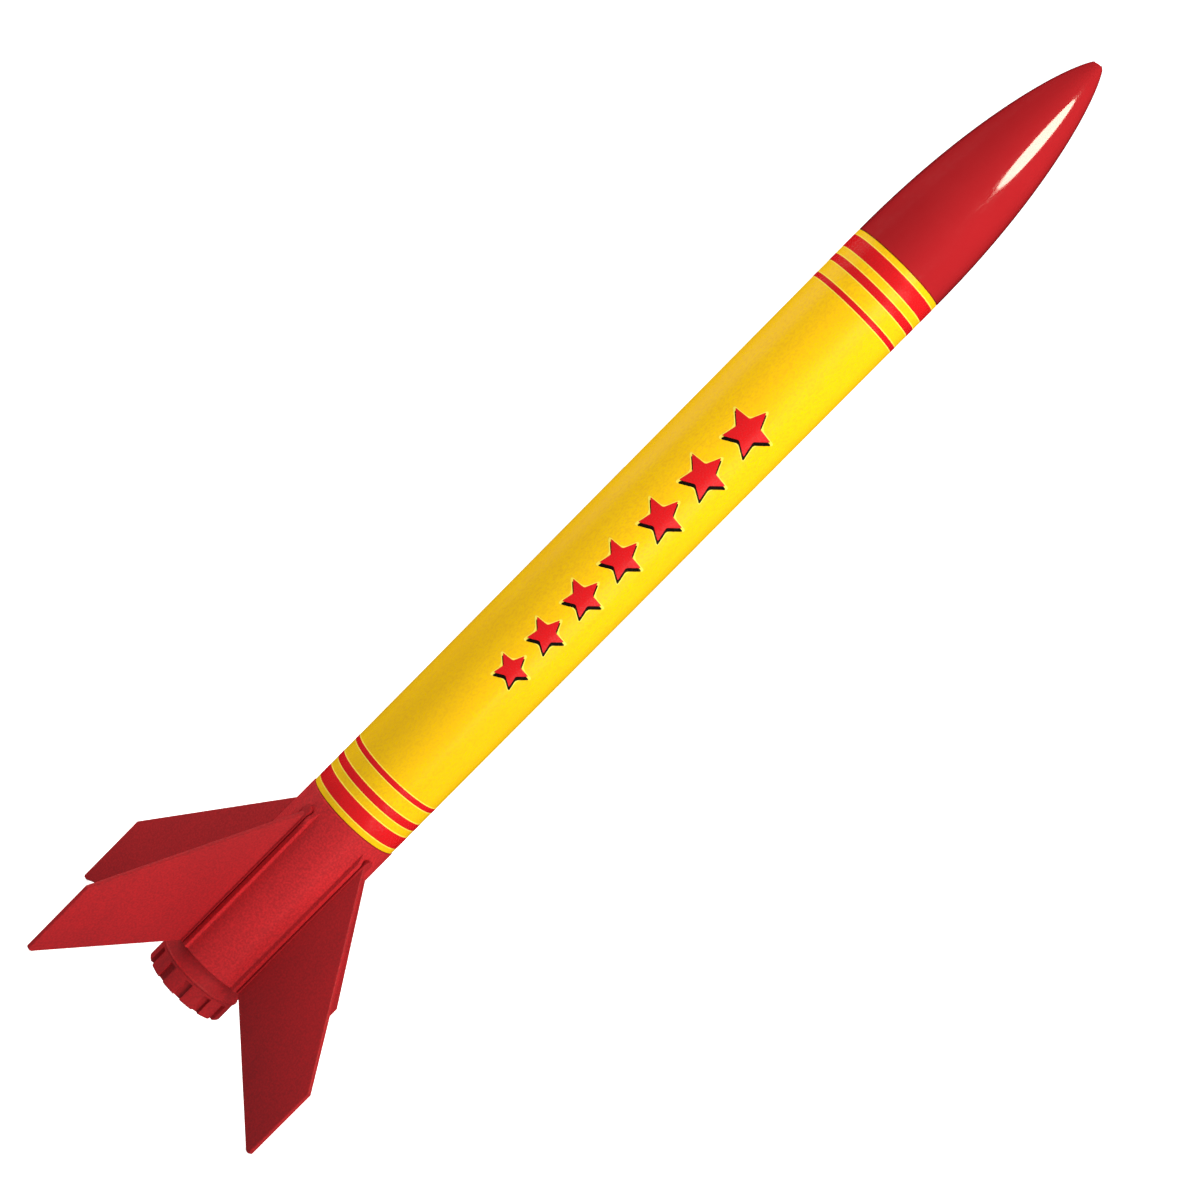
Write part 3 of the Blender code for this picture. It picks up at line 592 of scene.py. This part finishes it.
class ROCKET_OT_bands(bpy.types.Operator):
    """Three printed red bands round each end of the tube, mirrored, with thin pale edges"""
    bl_idname = "rocket.bands"
    bl_label = "Printed Bands"

    def execute(self, context):
        red = printing_ink("red_band_ink", prop("ink_colour"), "#cf151b")
        pale = printing_ink("pale_edge_ink", "#fdea60", "#f8e04c")
        depth = prop("ink_depth")
        for end, start, way in (("aft", TUBE_AFT, 1), ("fore", TUBE_FRONT, -1)):
            for name, ink, spare, rise, slot in (
                    ("band_edges", pale, 0.35 * MM, 0.6 * depth, "tube_yellow"),
                    ("printed_bands", red, 0.0, depth, "printed_red")):
                rings = [self.ring(sorted((start + way * near, start + way * far)), spare, rise)
                         for near, far in BANDS]
                piece = settle(joined(rings), f"{name}_{end}", ink, 40)
                finish_piece(piece, AIRFRAME, None, slot)
        return {"FINISHED"}

    @staticmethod
    def ring(span, spare, rise):
        """A film round the tube, with eased edges, that reaches spare beyond its span at both ends."""
        low, high = span[0] - spare, span[1] + spare
        sunk = TUBE_RADIUS - rise
        return turned([(sunk, low), (TUBE_RADIUS + 0.5 * rise, low), (TUBE_RADIUS + rise, low + 2 * rise),
                       (TUBE_RADIUS + rise, high - 2 * rise), (TUBE_RADIUS + 0.5 * rise, high), (sunk, high)],
                      prop("round_sides"))


def star_prism(outer, rounding, middle, depth):
    """Five-pointed star with a point towards the nose, as a prism that runs back through the tube's face."""
    deselect()
    bpy.ops.mesh.primitive_circle_add(vertices=10, radius=outer, fill_type="NGON",
                                      rotation=(math.radians(90), 0, 0))
    piece = bpy.context.object
    bpy.ops.object.transform_apply(rotation=True)
    for vert in piece.data.vertices:
        turn = round((math.atan2(vert.co.z, vert.co.x) - math.pi / 2) / (math.pi / 5))
        if turn % 2:
            vert.co *= STAR_WAIST
    edit(piece)
    bpy.ops.mesh.select_mode(type="VERT")
    bpy.ops.mesh.select_all(action="SELECT")
    bpy.ops.mesh.bevel(offset=rounding, segments=4, affect="VERTICES")
    bpy.ops.mesh.select_all(action="SELECT")
    bpy.ops.mesh.extrude_region_move(TRANSFORM_OT_translate={"value": (0, depth, 0)})
    bpy.ops.mesh.select_all(action="SELECT")
    bpy.ops.mesh.normals_make_consistent(inside=False)
    leave()
    piece.location = middle
    only(piece)
    bpy.ops.object.transform_apply(location=True)
    return piece


class ROCKET_OT_graphic(bpy.types.Operator):
    """Printed row of stars that grow towards the nose, over a pale edge and a black shadow"""
    bl_idname = "rocket.graphic"
    bl_label = "Printed Graphic"

    def execute(self, context):
        depth = prop("ink_depth")
        red = printing_ink("red_graphic_ink", prop("ink_colour"), "#cf151b")
        black = printing_ink("black_shadow_ink", "#17130f", "#0d0a08")
        pale = bpy.data.materials["pale_edge_ink"]
        # Each layer: its name and ink, how far it swells and how far it moves aft, both in mm, its height in
        # depths of ink, and its slot.
        layers = (("graphic_edge", pale, 1.7, 0.40, 1.2, "tube_yellow"),
                  ("graphic_shadow", black, 0.45, 0.80, 1.7, "printed_black"),
                  ("graphic_face", red, 0.0, 0.0, 2.2, "printed_red"))
        low, high = TUBE_AFT + GRAPHIC_LOW, TUBE_AFT + GRAPHIC_HIGH
        for name, ink, grow, shift, layer, slot in layers:
            cutter = self.stars(grow * MM, shift * MM)
            inner, outer = TUBE_RADIUS - depth, TUBE_RADIUS + layer * depth
            piece = turned([(inner, low), (outer, low), (outer, high), (inner, high)], 180)
            edit(piece)
            for cut in range(1, GRAPHIC_RINGS):
                height = low + (high - low) * cut / GRAPHIC_RINGS
                bpy.ops.mesh.select_all(action="SELECT")
                bpy.ops.mesh.bisect(plane_co=(0, 0, height), plane_no=AXIS)
            leave()
            apply_modifier(piece, "BOOLEAN", operation="INTERSECT", solver="EXACT", object=cutter)
            bpy.data.objects.remove(cutter, do_unlink=True)
            settle(piece, name, ink, 30)
            finish_piece(piece, AIRFRAME, None, slot)
        return {"FINISHED"}

    @staticmethod
    def stars(grow, shift):
        """One cutter for all the stars, swollen by grow and moved aft, and 0.8 of that to the right."""
        front = -TUBE_RADIUS - 3 * MM
        made = []
        height = TUBE_AFT + 67 * MM
        for radius in prop("star_radii"):
            height += radius
            middle = (1.2 * MM + 0.8 * shift, front, height - shift)
            made.append(star_prism(radius + grow, 0.5 * MM + 0.6 * grow, middle, 12 * MM))
            height += radius + prop("star_gap")
        return joined(made)


class ROCKET_OT_fin_can(bpy.types.Operator):
    """Moulded fin can and its four slide-in fins, with rounded edges"""
    bl_idname = "rocket.fin_can"
    bl_label = "Fin Can and Fins"

    def execute(self, context):
        red = satin_polystyrene("satin_can_polystyrene", prop("can_colour"), "#a32026")
        can = softened_copy("fin_can", "fin_can_moulding", red, 0.6 * prop("edge_round"))
        finish_piece(can, AIRFRAME, "fin_can", "moulded_red")
        red = satin_polystyrene("satin_fin_polystyrene", prop("fin_colour"), "#931c22")
        for fin in FINS:
            piece = softened_copy(fin, f"{fin}_moulding", red, 0.8 * prop("edge_round"))
            finish_piece(piece, AIRFRAME, fin, "moulded_red")
        return {"FINISHED"}


class ROCKET_OT_tail_ring(bpy.types.Operator):
    """Twist-lock tail ring with its finger notches"""
    bl_idname = "rocket.tail_ring"
    bl_label = "Tail Ring"

    def execute(self, context):
        red = satin_polystyrene("satin_ring_polystyrene", prop("fin_colour"), "#931c22")
        piece = softened_copy("tail_ring", "tail_ring_moulding", red, 1.1 * prop("edge_round"))
        finish_piece(piece, LOCK_RING, "tail_ring", "moulded_red")
        return {"FINISHED"}


class ROCKET_OT_motor_mount(bpy.types.Operator):
    """Kraft motor tube, thrust ring and centring ring"""
    bl_idname = "rocket.motor_mount"
    bl_label = "Motor Mount"

    def execute(self, context):
        kraft = bare_paper("kraft_wound_paper", "#b08d62", "#97764e", 34 * MM)
        fibre = pressed_fibre()
        for node, name, material, slot in (("motor_tube", "motor_tube_wound", kraft, "kraft_tube"),
                                           ("thrust_ring", "thrust_ring_pressed", fibre, "fibre_ring"),
                                           ("centring_ring", "centring_ring_pressed", fibre, "fibre_ring")):
            low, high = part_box(node)
            bore = high.x - MOUNT_WALLS[node]
            outline = [(high.x, low.z), (high.x, high.z), (bore, high.z), (bore, low.z)]
            piece = settle(turned(rounded(outline, 0.12 * MM, 2), 96), name, material, 35)
            finish_piece(piece, AIRFRAME, node, slot)
        return {"FINISHED"}


class ROCKET_OT_launch_lug(bpy.types.Operator):
    """Paper launch lug on the back of the tube, in two fillets of white glue"""
    bl_idname = "rocket.launch_lug"
    bl_label = "Launch Lug"

    def execute(self, context):
        low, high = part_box("launch_lug")
        radius = (high.x - low.x) / 2
        middle = Vector((0.0, (low.y + high.y) / 2, 0.0))
        bore = radius - LUG_WALL
        outline = [(radius, low.z), (radius, high.z), (bore, high.z), (bore, low.z)]
        piece = turned(rounded(outline, 0.08 * MM, 2), 48)
        piece.location = middle
        paper = bare_paper("white_lug_paper", "#efece4", "#ddd8cb", 19 * MM, 0.6)
        settle(piece, "launch_lug_wound", paper, 35)
        finish_piece(piece, AIRFRAME, "launch_lug", "lug_paper")
        self.glue(middle.y, radius, low.z, high.z)
        return {"FINISHED"}

    @staticmethod
    def glue(lug_y, radius, low, high):
        """One bead each side, where the lug meets the tube."""
        glue = dried_glue()
        bead = 0.75 * MM
        for side, way in (("left", -1), ("right", 1)):
            deselect()
            across = way * 0.62 * radius
            bpy.ops.mesh.primitive_uv_sphere_add(segments=20, ring_count=40, radius=bead,
                                                 location=(across, lug_y - 0.90 * radius, (low + high) / 2))
            piece = bpy.context.object
            piece.scale = (1.0, 0.85, (high - low - 1.5 * MM) / (2 * bead))
            bpy.ops.object.transform_apply(scale=True)
            settle(piece, f"lug_glue_{side}", glue, 60)
            finish_piece(piece, AIRFRAME, None, "lug_paper")


# ---- Recovery gear ----
def shock_cord_route():
    """The elastic's route: up from the anchor, twelve pleats, past the canopy and round the plug's loop."""
    legs = 12
    pleat_radius = 0.0110
    pleat_low, pleat_high = TUBE_AFT + 0.0647, TUBE_AFT + 0.1127
    step = 27.5
    bend = pleat_radius * math.radians(step) / 2
    pleats = []
    for leg in range(legs):
        upward = leg % 2 == 0
        middle = (pleat_high - bend) if upward else (pleat_low + bend)
        for turn in range(0, 181, 20):
            angle = 90.0 - step * (leg + 0.5 - 0.5 * math.cos(math.radians(turn)))
            rise = bend * math.sin(math.radians(turn)) * (1 if upward else -1)
            pleats.append(polar(pleat_radius, angle, middle + rise))
    start = [packed(0.0, 0.0158, 0.0561), packed(0.0, 0.0156, 0.0587), packed(0.0, 0.0122, 0.0647),
             packed(0.0, 0.0110, 0.0727)]
    past_canopy = [
        packed(-0.0056, 0.0096, 0.0807), packed(-0.0062, 0.0100, 0.1087), packed(-0.0092, 0.0112, 0.1247),
        packed(-0.0126, 0.0074, 0.1507), packed(-0.0143, 0.0030, 0.1787), packed(-0.0145, 0.0, 0.1947),
        packed(-0.0118, -0.0004, 0.2032), packed(-0.0060, -0.0022, 0.2117), packed(-0.0012, -0.0029, 0.2165)]
    knot = [packed(0.0, -0.00265, 0.2201), packed(0.0, -0.00187, 0.22197), packed(0.0, 0.0, 0.22275),
            packed(0.0, 0.00187, 0.22197), packed(0.0, 0.00265, 0.2201), packed(-0.0006, 0.0034, 0.2149),
            packed(-0.0024, 0.0042, 0.2103)]
    return smooth_route(start, 3)[:-1] + pleats + smooth_route(past_canopy + knot, 6)


class ROCKET_OT_shock_cord(bpy.types.Operator):
    """Braided elastic shock cord, from the paper anchor to the nose plug's loop"""
    bl_idname = "rocket.shock_cord"
    bl_label = "Shock Cord"

    def execute(self, context):
        piece = cord_mesh("shock_cord_braid", shock_cord_route(), CORD_RADIUS, 14)
        # b9b4a8 is painted shade for the valleys of the braid. #f2efe8 is the elastic's own colour.
        braid = laid_cord("braided_elastic", "#f2efe8", "#b9b4a8", 1.0 * MM, 0.10 * MM, 0.3)
        settle(piece, "shock_cord_braid", braid, 60)
        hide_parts("shock_cord")
        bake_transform(piece)
        return {"FINISHED"}


class ROCKET_OT_anchor(bpy.types.Operator):
    """Folded paper anchor: three plies glued to the tube's wall over the cord's end"""
    bl_idname = "rocket.anchor"
    bl_label = "Cord Anchor"

    def execute(self, context):
        piece = softened_copy("cord_anchor", "cord_anchor_folded", glued_paper(), 0.35 * MM, 40)
        finish_piece(piece, AIRFRAME, "cord_anchor", "anchor_paper")
        return {"FINISHED"}


class ROCKET_OT_canopy(bpy.types.Operator):
    """Parachute canopy, folded and rolled, with the wrapped lines pressed into its outer turns"""
    bl_idname = "rocket.canopy"
    bl_label = "Parachute Canopy"

    def execute(self, context):
        length = CANOPY_HIGH.z - CANOPY_LOW.z
        outer = CANOPY_HIGH.x + 0.45 * MM
        turns, per_turn, rows = 24, 24, 56
        layer = (outer - 1.2 * MM) / turns
        width = turns * per_turn + 1
        verts, faces = [], []
        for row in range(rows + 1):
            share = row / rows
            height = CANOPY_LOW.z + 0.6 * MM + (length - 1.2 * MM) * share
            for k in range(width):
                along = k / (width - 1)
                angle = 2 * math.pi * turns * along
                radius = outer - layer * turns * (1 - along)
                # The roll isn't quite round, and it is waisted where the lines hold it.
                lobes = 0.012 * math.sin(3 * angle + 2 * along)
                waist = 0.03 * math.sin(math.pi * share)
                radius *= 1.0 + (lobes - waist) * along
                radius -= 0.22 * MM * self.pressed(angle, height) * along ** 6
                slip = 0.5 * MM * math.sin(23 * along) * (2 * share - 1)
                verts.append((radius * math.cos(angle), radius * math.sin(angle), height + slip))
        for row in range(rows):
            for k in range(width - 1):
                a = row * width + k
                faces.append((a, a + 1, a + width + 1, a + width))
        mesh = bpy.data.meshes.new("rolled_canopy")
        mesh.from_pydata(verts, [], faces)
        piece = bpy.data.objects.new("rolled_canopy", mesh)
        bpy.context.scene.collection.objects.link(piece)
        apply_modifier(piece, "SOLIDIFY", thickness=FILM_THICKNESS, offset=0.0)
        settle(piece, "parachute_canopy_rolled", polythene_film(), 50)
        finish_piece(piece, AIRFRAME, "parachute_canopy", "canopy_film")
        # A hexagon 305 mm from corner to corner.
        return {"FINISHED"}

    @staticmethod
    def pressed(angle, height):
        """1 under a wrapped line and 0 halfway between two."""
        share = (height - TUBE_AFT - WRAP_LOW) / (WRAP_HIGH - WRAP_LOW)
        if not 0.0 <= share <= 1.0:
            return 0.0
        return 0.5 + 0.5 * math.cos(3 * (angle - 2 * math.pi * WRAP_TURNS * share))


def shroud_routes():
    """Routes of the three lines: out of the roll, five turns round it, then a lead to the swivel's eye."""
    turns = WRAP_TURNS
    per_turn = 36
    radius = 12.6 * MM
    low, high = TUBE_AFT + WRAP_LOW, TUBE_AFT + WRAP_HIGH
    leads = (
        (packed(0.0115, 0.0051, 0.1902), packed(0.0099, 0.0062, 0.1952), packed(0.0098, 0.0042, 0.2007),
         packed(0.00999, 0.0016, 0.2052), packed(0.00999, -0.0016, 0.2052)),
        (packed(-0.0102, 0.0074, 0.1902), packed(-0.0102, 0.0027, 0.1955), packed(-0.003, -0.0022, 0.1969),
         packed(0.0045, -0.0044, 0.1993), packed(0.00917, -0.0016, 0.2057), packed(0.00917, 0.0016, 0.2057)),
        (packed(-0.0013, -0.0125, 0.1902), packed(0.0035, -0.0106, 0.1951), packed(0.0076, -0.0066, 0.1991),
         packed(0.00917, -0.0016, 0.2047), packed(0.00917, 0.0016, 0.2047)),
    )
    for number, lead in enumerate(leads):
        wrap = [polar(radius - 1.3 * MM, 120.0 * number - 16, low - 0.4 * MM),
                polar(radius - 0.5 * MM, 120.0 * number - 9, low - 0.2 * MM)]
        for i in range(turns * per_turn + 1):
            share = i / (turns * per_turn)
            wrap.append(polar(radius, 120.0 * number + 360.0 * turns * share, low + (high - low) * share))
        yield number + 1, wrap[:-1] + smooth_route([wrap[-1], *lead], 6)


class ROCKET_OT_shroud_lines(bpy.types.Operator):
    """Three looped shroud lines wrapped round the rolled canopy"""
    bl_idname = "rocket.shroud_lines"
    bl_label = "Shroud Lines"

    def execute(self, context):
        # cfccc2 is painted shade for the valleys of the thread. #f7f6f2 is the thread's own colour.
        thread = laid_cord("twisted_thread", "#f7f6f2", "#cfccc2", 0.5 * MM, 0.05 * MM, 0.25)
        for number, route in shroud_routes():
            piece = cord_mesh(f"shroud_line_{number}_thread", route, THREAD_RADIUS, 8)
            settle(piece, f"shroud_line_{number}_thread", thread, 60)
            finish_piece(piece, AIRFRAME, f"shroud_line_{number}", "line_white")
        return {"FINISHED"}


class ROCKET_OT_swivel(bpy.types.Operator):
    """Brass barrel swivel and the steel snap hook"""
    bl_idname = "rocket.swivel"
    bl_label = "Swivel and Snap"

    def execute(self, context):
        brass = bright_metal("polished_brass", "#d9b46a", "#c79f52")
        steel = bright_metal("bright_spring_steel", "#c9c9c9", "#aeaeae")
        swivel = softened_copy("swivel", "swivel_turned", brass, 0.08 * MM, 50)
        finish_piece(swivel, AIRFRAME, "swivel", "swivel_brass")
        snap = softened_copy("snap_hook", "snap_hook_wire", steel, 0.03 * MM, 60)
        finish_piece(snap, AIRFRAME, "snap_hook", "snap_steel")
        return {"FINISHED"}


# ---- Stage ----
class ROCKET_OT_stage(bpy.types.Operator):
    """Pale floor and backdrop, soft studio lights and the camera"""
    bl_idname = "rocket.stage"
    bl_label = "Stage"

    def execute(self, context):
        self.backdrop()
        self.lights()
        self.camera()
        context.scene.view_settings.view_transform = "Standard"
        return {"FINISHED"}

    @staticmethod
    def backdrop():
        """White floor, and a white dome far round it. Neither is mirrored in the rocket's gloss."""
        deselect()
        bpy.ops.mesh.primitive_circle_add(vertices=96, radius=STAGE_RADIUS, fill_type="NGON",
                                          location=(0, 0, -0.2 * MM))
        floor = settle(bpy.context.object, "studio_floor", lit_white("white_floor_paper", 0.72), 30)
        deselect()
        bpy.ops.mesh.primitive_uv_sphere_add(segments=64, ring_count=32, radius=STAGE_RADIUS)
        dome = settle(bpy.context.object, "studio_dome", lit_white("white_dome_cloth", 1.0), 30)
        for piece in (floor, dome):
            piece.visible_glossy = False
            piece.visible_diffuse = False
            piece.visible_transmission = False
        dome.visible_shadow = False

    @staticmethod
    def lights():
        world = bpy.data.worlds.new("studio_light")
        bpy.context.scene.world = world
        world.use_nodes = True
        back = world.node_tree.nodes["Background"]
        back.inputs["Color"].default_value = (1.0, 1.0, 1.0, 1.0)
        back.inputs["Strength"].default_value = 0.48
        world.cycles_visibility.glossy = False
        # Each softbox: its place, what it faces, its size, power and colour, and whether gloss mirrors it.
        softboxes = (
            ("key_softbox", (0.415, -0.61, 0.865), (0, 0, 0.40), (0.44, 0.38), 5.0, "#fff3dc", True),
            ("front_softbox", (1.00, -0.96, 0.05), (0, 0, 0.14), (1.0, 0.9), 22.0, "#fffaf2", False),
            ("left_softbox", (-0.68, 0.20, 0.44), (0, 0, 0.32), (0.6, 0.7), 4.3, "#fff6ea", False),
            ("back_softbox", (-0.1, 0.75, 1.40), (0, 0, 0.30), (0.8, 0.5), 7.0, "#ffffff", True),
        )
        for name, place, target, size, power, colour, mirrored in softboxes:
            lamp = bpy.data.lights.new(name, "AREA")
            lamp.shape = "ELLIPSE"
            lamp.size, lamp.size_y = size
            lamp.energy = power
            lamp.color = linear(colour)[:3]
            holder = bpy.data.objects.new(name, lamp)
            holder.location = place
            holder.rotation_euler = (Vector(target) - Vector(place)).to_track_quat("-Z", "Y").to_euler()
            holder.visible_glossy = mirrored
            bpy.context.scene.collection.objects.link(holder)

    @staticmethod
    def camera():
        """Long lens in front of the rocket, rolled so that it flies to the upper right."""
        lens = bpy.data.cameras.new("camera")
        lens.sensor_width = 36.0
        lens.lens = 73.04
        holder = bpy.data.objects.new("camera", lens)
        bpy.context.scene.collection.objects.link(holder)
        right = Vector((0.9951, -0.0988, 0.0)).normalized()
        back = Vector((-0.0986, -0.9925, 0.0719)).normalized()
        up = back.cross(right).normalized()
        right = up.cross(back).normalized()
        roll = math.radians(44.81)
        across = right * math.cos(roll) + up * math.sin(roll)
        above = up * math.cos(roll) - right * math.sin(roll)
        turn = Matrix((across, above, back)).transposed()
        holder.matrix_world = Matrix.Translation((-0.0710, -0.7884, TUBE_AFT + 0.1644)) @ turn.to_4x4()
        bpy.context.scene.camera = holder


STEPS = (
    ROCKET_OT_stage, ROCKET_OT_nose, ROCKET_OT_tube, ROCKET_OT_bands, ROCKET_OT_graphic, ROCKET_OT_fin_can,
    ROCKET_OT_tail_ring, ROCKET_OT_motor_mount, ROCKET_OT_launch_lug, ROCKET_OT_anchor, ROCKET_OT_canopy,
    ROCKET_OT_shock_cord, ROCKET_OT_shroud_lines, ROCKET_OT_swivel,
)


class ROCKET_PT_builder(bpy.types.Panel):
    """Lists the rocket's settings and the steps that build it"""
    bl_idname = "ROCKET_PT_builder"
    bl_label = "Model Rocket"
    bl_space_type = "VIEW_3D"
    bl_region_type = "UI"
    bl_category = "Rocket"

    def draw(self, context):
        for name in RocketSettings.__annotations__:
            self.layout.prop(context.scene.rocket, name)
        for step in STEPS:
            self.layout.operator(step.bl_idname)


def register():
    for item in (RocketSettings, *STEPS, ROCKET_PT_builder):
        bpy.utils.register_class(item)
    bpy.types.Scene.rocket = bpy.props.PointerProperty(type=RocketSettings)


def unregister():
    del bpy.types.Scene.rocket
    for item in reversed((RocketSettings, *STEPS, ROCKET_PT_builder)):
        bpy.utils.unregister_class(item)


def main():
    register()
    for step in STEPS:
        group, name = step.bl_idname.split(".")
        getattr(getattr(bpy.ops, group), name)()


if __name__ == "__main__":
    main()
